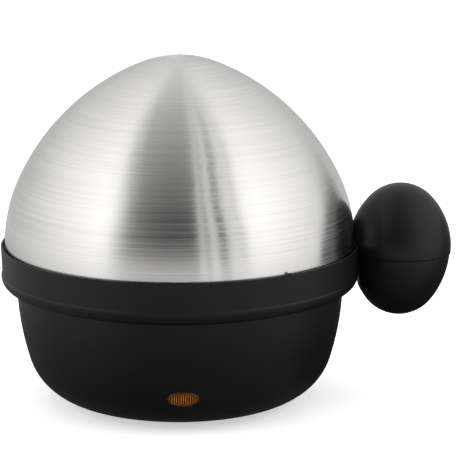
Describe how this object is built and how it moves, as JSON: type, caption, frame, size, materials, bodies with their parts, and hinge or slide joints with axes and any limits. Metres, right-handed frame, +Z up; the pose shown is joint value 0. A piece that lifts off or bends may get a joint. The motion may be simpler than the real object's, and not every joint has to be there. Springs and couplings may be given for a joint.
{
  "type": "egg cooker",
  "caption": "Round electric egg cooker: bowl-shaped heated base, rear-hinged steel dome lid with an egg-shaped side handle, lift-out egg tray, rocker switch and lamp.",
  "frame": {"origin": "on the floor, on the axis of the round base", "axes": "+Z up; -Y to the front, where the lamp is; +X to the side of the egg-shaped handle"},
  "size_m": [0.217, 0.1875, 0.1671],
  "materials": {
    "black_plastic": "satin moulded",
    "brushed_dome": "brushed round the axis",
    "pan_steel": "drawn, smooth",
    "screw_steel": "zinc plated",
    "cast_disc": "as cast",
    "element_sheath": "heat darkened",
    "terminal_metal": "bright",
    "brown_moulding": "phenolic",
    "white_moulding": "plain",
    "amber_lens": "clear amber, ribbed",
    "lamp_glass": "clear",
    "switch_black": "smooth",
    "black_rubber": "matte",
    "silicone": "translucent",
    "tray_plastic": "fine texture"
  },
  "bodies": {
    "base": {"base_shell": "black_plastic", "bottom_cover": "black_plastic", "cover_screws": "screw_steel", "rubber_feet": "black_rubber", "pan": "pan_steel", "pan_seal": "silicone", "pan_standoffs": "pan_steel", "pan_screws": "screw_steel", "heater_disc": "cast_disc", "heating_element": "element_sheath", "element_pins": "terminal_metal", "thermostat": "brown_moulding", "thermostat_bracket": "screw_steel", "bracket_screws": "screw_steel", "thermal_fuse": "terminal_metal", "hinge_pin": "screw_steel", "lamp_lens": "amber_lens", "lamp_holder": "white_moulding", "neon_lamp": "lamp_glass", "switch_housing": "switch_black", "switch_blades": "terminal_metal", "cord_gland": "black_rubber", "terminal_block": "white_moulding"},
    "lid": {"lid_ring": "black_plastic", "lid_dome": "brushed_dome", "dome_clamp_ring": "black_plastic", "clamp_screws": "screw_steel", "handle_upper_shell": "black_plastic", "handle_lower_shell": "black_plastic", "handle_screw": "screw_steel"},
    "tray": {"egg_tray": "tray_plastic"},
    "rocker": {"switch_rocker": "switch_black"}
  },
  "joints": [
    {"name": "lid_hinge", "type": "hinge", "parent": "base", "child": "lid", "pos_m": [0, 0.0925, 0.0663], "axis": [-1, 0, 0], "range_deg": [0, 76]},
    {"name": "tray_lift", "type": "slide", "parent": "base", "child": "tray", "axis": [0, 0, 1], "range_m": [0, 0.05]},
    {"name": "switch_rock", "type": "hinge", "parent": "base", "child": "rocker", "pos_m": [0.04638, 0.05527, 0.02656], "axis": [-0.1647, -0.1962, -0.9666], "range_deg": [0, 14]}
  ]
}
